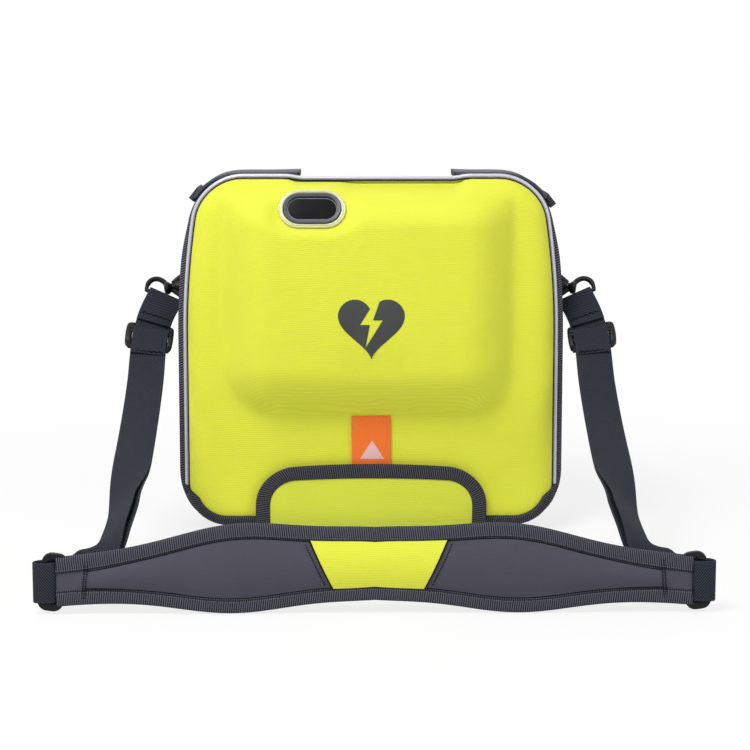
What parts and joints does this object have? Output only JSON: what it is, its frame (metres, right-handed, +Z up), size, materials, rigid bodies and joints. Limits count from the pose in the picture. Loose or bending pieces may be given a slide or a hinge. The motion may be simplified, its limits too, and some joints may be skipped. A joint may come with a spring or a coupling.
{
  "type": "defibrillator",
  "caption": "Portable defibrillator in a moulded hi-vis carry case with status window, closure flap, side hooks and padded shoulder strap.",
  "frame": {"origin": "middle of the underside of the base plate that the case stands on", "axes": "-Z out of the base, +Z up, -Y towards the viewer out of the front cover, +X to the viewer's right"},
  "size_m": [0.4464, 0.3556, 0.2767],
  "materials": {
    "hivis_fabric": "matt laminate over moulded foam",
    "dark_shell": "matt laminate over moulded foam",
    "base_rubber": "matt",
    "binding_tape": "ribbed tape",
    "silver_piping": "satin, reflective",
    "strap_webbing": "woven webbing",
    "black_plastic": "fine grain",
    "ring_metal": "satin black",
    "orange_webbing": "woven webbing",
    "milky_plastic": "translucent",
    "grey_plastic": "satin",
    "window_clear": "smoked, polished",
    "pad_fabric": "brushed nylon",
    "unit_housing": "fine grain",
    "display_glass": "polished",
    "green_plastic": "polished",
    "orange_button": "polished",
    "blue_plastic": "polished",
    "board_green": "solder mask",
    "pouch_foil": "foil laminate"
  },
  "bodies": {
    "case": {"rear_shell": "dark_shell", "base_plate": "base_rubber", "hinge_strip_left": "dark_shell", "hinge_strip_right": "dark_shell", "zip_row_rear_left": "binding_tape", "zip_row_rear_right": "binding_tape", "side_tab_left": "strap_webbing", "side_tab_right": "strap_webbing", "unit_back_housing": "unit_housing", "unit_front_housing": "unit_housing", "unit_gasket": "base_rubber", "unit_handle": "black_plastic", "unit_display": "display_glass", "indicator_lens": "green_plastic", "unit_speaker": "black_plastic", "battery_pack": "grey_plastic", "main_board": "board_green", "energy_capacitor": "blue_plastic", "electrode_pouch": "pouch_foil"},
    "cover": {"front_cover": "hivis_fabric", "cover_piping": "silver_piping", "cover_binding": "binding_tape", "zip_row_front_left": "binding_tape", "zip_row_front_right": "binding_tape", "window_ring": "milky_plastic", "window_bezel": "grey_plastic", "window_pane": "window_clear", "loop_patch": "binding_tape", "flap_base": "hivis_fabric"},
    "flap": {"closure_flap": "hivis_fabric", "flap_binding": "binding_tape", "pull_tab": "orange_webbing", "hook_patch": "binding_tape"},
    "strap": {"swivel_eye_left": "black_plastic", "swivel_eye_right": "black_plastic", "webbing_left": "strap_webbing", "webbing_right": "strap_webbing", "lower_slider_left": "black_plastic", "lower_slider_right": "black_plastic", "shoulder_pad": "pad_fabric", "pad_binding_top": "binding_tape", "pad_binding_bottom": "binding_tape", "pad_panel": "hivis_fabric"},
    "zip_slider_left": {"zip_slider_left": "black_plastic"},
    "zip_slider_right": {"zip_slider_right": "black_plastic"},
    "zip_pull_left": {"zip_pull_left": "black_plastic"},
    "zip_pull_right": {"zip_pull_right": "black_plastic"},
    "power_button": {"power_button": "green_plastic"},
    "shock_button": {"shock_button": "orange_button"},
    "child_button": {"child_button": "blue_plastic"},
    "side_ring_left": {"side_ring_left": "ring_metal"},
    "side_ring_right": {"side_ring_right": "ring_metal"},
    "snap_hook_left": {"snap_hook_left": "black_plastic"},
    "snap_hook_right": {"snap_hook_right": "black_plastic"},
    "hook_bolt_left": {"hook_bolt_left": "black_plastic"},
    "hook_bolt_right": {"hook_bolt_right": "black_plastic"},
    "upper_slider_left": {"upper_slider_left": "black_plastic"},
    "upper_slider_right": {"upper_slider_right": "black_plastic"}
  },
  "joints": [
    {"name": "cover_hinge", "type": "hinge", "parent": "case", "child": "cover", "pos_m": [0, -0.024, 0.2745], "axis": [-1, 0, 0], "range_deg": [0, 110]},
    {"name": "flap_peel", "type": "hinge", "parent": "cover", "child": "flap", "pos_m": [0, -0.0646, 0.014], "axis": [1, 0, 0], "range_deg": [0, 100]},
    {"name": "strap_swing", "type": "hinge", "parent": "case", "child": "strap", "pos_m": [0, 0.004, 0.2], "axis": [-1, 0, 0], "range_deg": [0, 230]},
    {"name": "zip_run_right", "type": "slide", "parent": "case", "child": "zip_slider_right", "axis": [0, 0, 1], "range_m": [0, 0.105]},
    {"name": "zip_pull_swing_right", "type": "hinge", "parent": "zip_slider_right", "child": "zip_pull_right", "pos_m": [0.1424, -0.024, 0.047], "axis": [0, -1, 0], "range_deg": [0, 90]},
    {"name": "ring_rock_right", "type": "hinge", "parent": "case", "child": "side_ring_right", "pos_m": [0.137, 0.004, 0.188], "axis": [0, 1, 0], "range_deg": [-5, 5]},
    {"name": "hook_swivel_right", "type": "hinge", "parent": "strap", "child": "snap_hook_right", "pos_m": [0.1565, -0.0115, 0.18539], "axis": [-0.9797, 0.146, 0.1376], "range_deg": [-15, 5]},
    {"name": "bolt_slide_right", "type": "slide", "parent": "snap_hook_right", "child": "hook_bolt_right", "axis": [0.9797, -0.146, -0.1376], "range_m": [0, 0.0032], "stiffness_N_per_m": 400, "springref_m": -0.002},
    {"name": "keeper_slide_right", "type": "slide", "parent": "strap", "child": "upper_slider_right", "axis": [0.1744, -0.66, -0.7307], "range_m": [-0.004, 0.003]},
    {"name": "zip_run_left", "type": "slide", "parent": "case", "child": "zip_slider_left", "axis": [0, 0, 1], "range_m": [0, 0.105]},
    {"name": "zip_pull_swing_left", "type": "hinge", "parent": "zip_slider_left", "child": "zip_pull_left", "pos_m": [-0.1424, -0.024, 0.047], "axis": [0, 1, 0], "range_deg": [0, 90]},
    {"name": "ring_rock_left", "type": "hinge", "parent": "case", "child": "side_ring_left", "pos_m": [-0.137, 0.004, 0.188], "axis": [0, 1, 0], "range_deg": [-5, 5]},
    {"name": "hook_swivel_left", "type": "hinge", "parent": "strap", "child": "snap_hook_left", "pos_m": [-0.1565, -0.0115, 0.18539], "axis": [0.9797, 0.146, 0.1376], "range_deg": [-5, 15]},
    {"name": "bolt_slide_left", "type": "slide", "parent": "snap_hook_left", "child": "hook_bolt_left", "axis": [-0.9797, -0.146, -0.1376], "range_m": [0, 0.0032], "stiffness_N_per_m": 400, "springref_m": -0.002},
    {"name": "keeper_slide_left", "type": "slide", "parent": "strap", "child": "upper_slider_left", "axis": [-0.1744, -0.66, -0.7307], "range_m": [-0.004, 0.003]},
    {"name": "power_press", "type": "slide", "parent": "case", "child": "power_button", "axis": [0, 1, 0], "range_m": [0, 0.0015], "stiffness_N_per_m": 1500, "springref_m": -0.0005},
    {"name": "shock_press", "type": "slide", "parent": "case", "child": "shock_button", "axis": [0, 1, 0], "range_m": [0, 0.0015], "stiffness_N_per_m": 1500, "springref_m": -0.0005},
    {"name": "child_press", "type": "slide", "parent": "case", "child": "child_button", "axis": [0, 1, 0], "range_m": [0, 0.0015], "stiffness_N_per_m": 1500, "springref_m": -0.0005}
  ]
}
